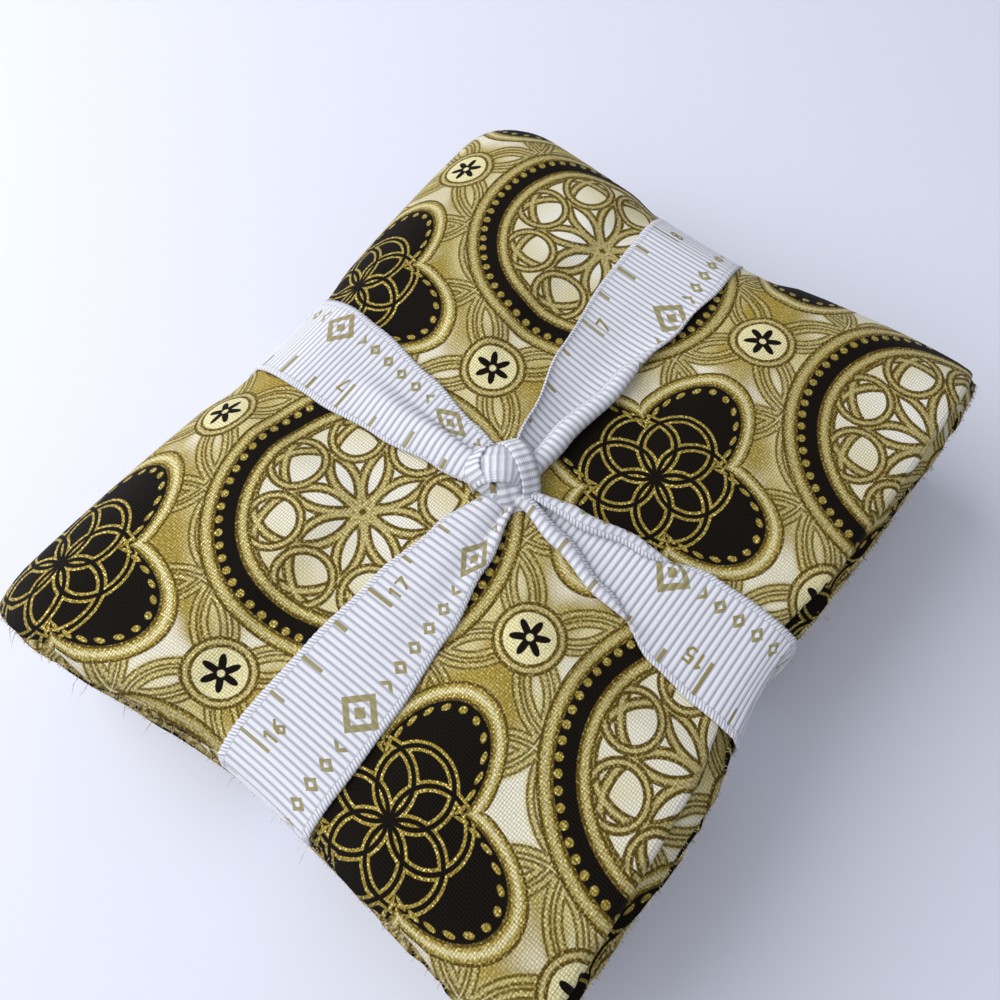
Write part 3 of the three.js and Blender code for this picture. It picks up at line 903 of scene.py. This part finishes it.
DIGITS = {
    "0": [[
        (0, 0.4), (0, 1.4), (0.3, 1.8), (0.7, 1.8), (1, 1.4), (1, 0.4), (0.7, 0), (0.3, 0), (0, 0.4),
    ]],
    "1": [[(0.2, 1.4), (0.6, 1.8), (0.6, 0)]],
    "2": [[(0, 1.4), (0.3, 1.8), (0.7, 1.8), (1, 1.4), (1, 1.1), (0, 0), (1, 0)]],
    "3": [[(0, 1.6), (0.4, 1.8), (0.9, 1.5), (0.4, 1.0), (1, 0.5), (0.6, 0), (0, 0.2)]],
    "4": [[(0.8, 0), (0.8, 1.8), (0, 0.6), (1.1, 0.6)]],
    "5": [[(1, 1.8), (0.1, 1.8), (0, 1.0), (0.7, 1.1), (1, 0.6), (0.6, 0), (0, 0.1)]],
    "6": [[(0.9, 1.8), (0.2, 1.2), (0, 0.5), (0.5, 0), (1, 0.5), (0.6, 1.0), (0, 0.7)]],
    "7": [[(0, 1.8), (1, 1.8), (0.3, 0)]],
    "8": [[
        (0.5, 0.95), (0, 1.4), (0.5, 1.8), (1, 1.4), (0.5, 0.95),
        (0, 0.4), (0.5, 0), (1, 0.4), (0.5, 0.95),
    ]],
    "9": [[(0.1, 0), (0.8, 0.6), (1, 1.3), (0.5, 1.8), (0, 1.3), (0.4, 0.8), (1, 1.1)]],
}


def number_strokes(length):
    """Quads of the printed inch numbers: corners as (along, across) in mm."""
    quads = []
    for inch in range(1, int(length / INCH)):
        for place, digit in enumerate(str(inch + FIRST_INCH)):
            for line in DIGITS[digit]:
                start = np.array([inch * INCH + TICK_AT + place * 1.7 + 1.0, 2.2])
                line = np.array(line) * 1.15 + start
                for a, b in zip(line[:-1], line[1:]):
                    along = (b - a) / np.linalg.norm(b - a)
                    side = np.array([-along[1], along[0]]) * 0.17
                    a, b = a - along * 0.1, b + along * 0.1
                    quads.append([a - side, b - side, b + side, a + side])
    return np.array(quads)


def printed_numbers(name, surface, step, length):
    """Thin quads just above the band's cloth; the surface's sides run like the print's."""
    quads = number_strokes(length)
    lifted = surface + normals_of(surface) * (RIBBON_THICK / 2 + 0.07)
    rows, columns = surface.shape[:2]
    row = np.clip(quads[..., 0] / step, 0, rows - 2)
    column = np.clip((quads[..., 1] + RIBBON_HALF) / RIBBON_WIDTH * (columns - 1), 0, columns - 2)
    i, j = row.astype(int), column.astype(int)
    a, b = (row - i)[..., None], (column - j)[..., None]
    left = blend(lifted[i, j], lifted[i + 1, j], a)
    corners = blend(left, blend(lifted[i, j + 1], lifted[i + 1, j + 1], a), b)
    faces = np.arange(len(quads) * 4).reshape(-1, 4)
    piece = new_piece(name, corners, faces.tolist(), plain_material(name, RIBBON_INK, 0.6))
    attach(piece, "root")
    return piece


def ribbon_band(name, material):
    band = BANDS[name]
    line = resampled(
        loop_line(band["low"], band["high"], band["low_radius"], band["high_radius"], band["knot_u"]),
        RIB_PITCH / RIB_STEPS,
    )
    turned = 1 if name == "lengthwise" else -1
    sides = np.linspace(-RIBBON_HALF, RIBBON_HALF, RIBBON_COLUMNS) * turned
    flat_u, across, flat_z = band_points(band, line, sides)
    order = (flat_u, across, flat_z) if name == "lengthwise" else (across, flat_u, flat_z)
    points = settle(np.stack(np.broadcast_arrays(*order), axis=-1))
    points[..., 2] = np.maximum(points[..., 2], LOWEST_RIBBON)
    flat = np.stack(np.broadcast_arrays(line[:, None, 4], turned * sides[None, :]), axis=-1)
    ribbed = with_ribs(points, line[:, 4])
    piece = strip(f"ribbon_{name}", ribbed, flat, material, RIBBON_THICK, "along")
    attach(piece, "root")
    length = line[-1, 4]
    numbers = printed_numbers(f"numbers_{name}", points, RIB_PITCH / RIB_STEPS, length)
    print(piece.name, round(length), "mm long,", len(piece.data.polygons), "faces")
    return piece


# %% [markdown]
# ### Grosgrain's finish
# The ribbon is cool white with a soft sheen and painted shade in the grooves between its ribs,
# and it carries a printed ruler in olive-gold: a tick every quarter of an inch along one edge,
# with longer ones at the half and whole inch.
# Along the other edge runs a plain border of small and large diamonds. Where one arm is rolled
# over near the knot, the ribbon's plain back shows, so the border starts only past the roll.

# %% White grosgrain with a printed ruler
RIBBON_WHITE = tint(228, 228, 232)


def grosgrain(name, bordered_from):
    """The ribbon's cloth; its border starts at this many mm from the knot."""
    material, shader, s, w = new_material(name, "along")
    rib = (s * (2 * math.pi / RIB_PITCH)).cosine() * 0.5 + 0.5
    groove = rib.step(-0.1, 0.75)
    place = s.add("CombineXYZ", inputs={"X": s, "Y": w})
    threads = place.add("TexNoise", inputs={"Vector": place, "Scale": 3.0, "Detail": 2.0})
    tick_at = (s / QUARTER_INCH).part() * QUARTER_INCH - TICK_AT
    number = (s / QUARTER_INCH).whole()
    is_half = ((number / 2).part()).step(0.3, 0.2)
    is_inch = ((number / 4).part()).step(0.2, 0.1)
    reach = 7.2 - (2.4 + is_half * 1.2 + is_inch * 1.4)
    tick = tick_at.line(0.3, 0.06) * (w - reach).step(-0.08, 0.08) * w.step(7.3, 7.1)
    small_s = abs((s / 3.2).part() * 3.2 - 1.6)
    small = small_s * 1.2 + abs(w + 4.6)
    large_s = abs((s / 25.6).part() * 25.6 - 12.8)
    large = large_s + abs(w + 4.0)
    is_small = large_s.step(4.6, 4.8)
    diamond = small.step(1.35, 1.2) * small.step(0.4, 0.55) * is_small
    jewel = large.step(3.4, 3.2) * large.step(1.9, 2.1) + large.step(1.1, 0.95)
    ink = tick.most(diamond.most(jewel) * s.step(bordered_from - 0.5, bordered_from + 0.5))
    worn = threads.step(0.25, 0.4)
    edge = abs(w).step(6.95, 7.1)
    loops = (s * (4 * math.pi / RIB_PITCH) + abs(w) * 4.5).cosine() * 0.5 + 0.5
    seam = abs(abs(w) - 6.95).step(0.14, 0.04)
    # depth is 1 on the crowns of the ribs and of the edge loops and 0 between them, and seam darkens a
    # thin line where the loops begin; mixed from grey to white below, this is painted shade in the
    # grooves and between the loops.
    depth = mixed_value(groove, loops.step(0.05, 0.5), edge) * (1 - seam * 0.5)
    shade = mixed(tint(168, 169, 179), RIBBON_WHITE, depth)
    # The ink is a little fainter in the grooves, so the painted groove shade shows through it.
    printed = ink * (worn * 0.2 + 0.75) * (groove * 0.25 + 0.75)
    feed(shader, "Base Color", mixed(shade, RIBBON_INK, printed))
    feed(shader, "Roughness", 0.5 + threads * 0.25)
    fine = (w * (2 * math.pi / 0.28)).cosine() * 0.25 + depth
    bump = {"Height": fine, "Strength": 0.6, "Distance": 0.0001}
    feed(shader, "Normal", fine.add("Bump", inputs=bump))
    feed(shader, "Sheen Weight", 0.15)
    feed(shader, "Sheen Roughness", 0.4)
    return material


ROLLED_UNTIL = 26.0
rolled_grosgrain = grosgrain("white_grosgrain_rolled", ROLLED_UNTIL)
white_grosgrain = grosgrain("white_grosgrain", 0.0)

# %% Lay both bands
for name, material in (("lengthwise", rolled_grosgrain), ("crosswise", white_grosgrain)):
    ribbon_band(name, material)
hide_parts("ribbon")

# %% [markdown]
# ### The knot
# The knot is the same ribbon, gathered to a third of its width and wrapped round the crossing.
# Three short wraps make it: one bulges out at the left, the wide one goes over the middle and
# the last comes down on the right, into the lower right arm. A pleat fills the gap below them.
# Each is swept along a short path and bulges away from the knot's own middle.

# %% Wraps of the knot
KNOT_MIDDLE = np.array([-3.0, -2.6, STACK_HEIGHT + 1.2])
WRAP_COLUMNS = 25
WRAP_PRINT_FROM = 2.1
GATHER = 0.12
WRAPS = {
    "knot_left": {
        "path": [
            (-1.6, 2.5, 1.0), (-3.8, 2.7, 3.0), (-6.1, 1.9, 3.6),
            (-7.1, 0.0, 3.1), (-6.9, -2.2, 1.9), (-5.8, -3.9, 0.8),
        ],
        "width": 4.6, "dome": 0.9, "pleats": 2,
    },
    "knot_over": {
        "path": [
            (-5.6, 2.2, 1.4), (-5.2, 1.8, 3.4), (-4.1, 0.6, 5.0), (-2.6, -1.4, 5.7),
            (-1.2, -3.4, 5.0), (-0.6, -5.2, 3.2), (-0.8, -6.0, 1.4),
        ],
        "width": 6.2, "dome": 1.4, "pleats": 3,
    },
    "knot_right": {
        "path": [
            (1.2, 0.5, 1.2), (1.5, -0.7, 3.4), (0.9, -2.7, 4.9),
            (-0.3, -5.0, 4.8), (-1.8, -7.0, 3.5), (-3.2, -8.1, 1.8),
        ],
        "width": 4.2, "dome": 1.0, "pleats": 2,
    },
    "knot_pleat": {
        "path": [(-2.4, -3.2, 3.6), (-3.6, -4.4, 4.0), (-4.8, -5.9, 3.1), (-5.4, -7.4, 0.9)],
        "width": 4.8, "dome": 0.8, "pleats": 3,
    },
}


def through(path, step):
    """A smooth line through the points, with even steps."""
    knots = np.array(path, float)
    ends = np.vstack([2 * knots[0] - knots[1], knots, 2 * knots[-1] - knots[-2]])
    points = []
    for i in range(len(knots) - 1):
        a, b, c, d = ends[i : i + 4]
        for t in np.linspace(0, 1, 24, endpoint=False):
            square, cube = 2 * a - 5 * b + 4 * c - d, 3 * b - a - 3 * c + d
            points.append(0.5 * (2 * b + (c - a) * t + square * t**2 + cube * t**3))
    points = np.array(points + [knots[-1]])
    length = np.concatenate([[0], np.cumsum(np.linalg.norm(np.diff(points, axis=0), axis=1))])
    even = np.arange(0, length[-1], step)
    return np.column_stack([np.interp(even, length, column) for column in points.T]), even


def wrap(name, shape):
    path, along = through(shape["path"], RIB_PITCH / (RIB_STEPS + 2))
    path = path + np.array([0, 0, STACK_HEIGHT])
    heading = np.gradient(path, axis=0)
    heading /= np.linalg.norm(heading, axis=1, keepdims=True)
    outward = path - KNOT_MIDDLE
    outward -= heading * np.sum(outward * heading, axis=1, keepdims=True)
    outward /= np.linalg.norm(outward, axis=1, keepdims=True)
    sideways = np.cross(heading, outward)
    side = np.linspace(-1, 1, WRAP_COLUMNS)
    gather = GATHER * np.cos(side * math.pi * shape["pleats"]) * (1 - side**2)
    lift = gather - shape["dome"] * side**2
    half = shape["width"] / 2
    points = path[:, None] + sideways[:, None] * (side * half)[None, :, None]
    points = points + outward[:, None] * lift[None, :, None]
    flat = np.stack(np.broadcast_arrays(along[:, None], side[None, :] * half), axis=-1)
    flat = flat + np.array([WRAP_PRINT_FROM, 0])
    piece = strip(name, with_ribs(points, along), flat, white_grosgrain, RIBBON_THICK, "along")
    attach(piece, "root")
    return piece


wraps = [wrap(name, shape) for name, shape in WRAPS.items()]
print("the knot has", len(wraps), "wraps")

# %% [markdown]
# ## Floor and light
# The bundle lies on a plain white surface in soft daylight from the upper left of the picture.
# Two large area lamps give the soft shadow at the lower right, and a pale sky fills the rest.

# %% Floor and lights
floor_mesh = bpy.data.meshes.new("floor")
FLOOR_HALF = 1.5
floor_corners = [(x * FLOOR_HALF, y * FLOOR_HALF, 0) for x, y in ((-1, -1), (1, -1), (1, 1), (-1, 1))]
floor_mesh.from_pydata(floor_corners, [], [(0, 1, 2, 3)])
floor = bpy.data.objects.new("floor", floor_mesh)
bpy.context.scene.collection.objects.link(floor)
floor_mesh.materials.append(plain_material("pale_surface", tint(226, 228, 238), 0.6))

world = bpy.data.worlds.new("sky")
bpy.context.scene.world = world
world.use_nodes = True
world.node_tree.nodes["Background"].inputs["Color"].default_value = (0.86, 0.89, 1.0, 1.0)
world.node_tree.nodes["Background"].inputs["Strength"].default_value = 0.42
bpy.context.scene.view_settings.view_transform = "Standard"


def area_light(name, place, target, size, power, colour):
    lamp = bpy.data.lights.new(name, "AREA")
    lamp.shape = "DISK"
    lamp.size = size
    lamp.energy = power
    lamp.color = colour
    light = bpy.data.objects.new(name, lamp)
    direction = Vector(target) - Vector(place)
    turned = direction.to_track_quat("-Z", "Y").to_matrix().to_4x4()
    light.matrix_world = Matrix.Translation(place) @ turned
    bpy.context.scene.collection.objects.link(light)


area_light("daylight", (-0.17, 0.46, 0.46), (0, 0, 0.02), 0.7, 4.4, (0.97, 0.97, 1.0))
area_light("room", (-0.6, 0.1, 0.8), (0, 0, 0.02), 0.9, 2.4, (0.93, 0.94, 1.0))
print("floor and two lamps")

# %% [markdown]
# ## Finish
# The dressed bundle may stand only a little outside the box of the solid model.

# %% Update the scene
bpy.context.view_layer.update()
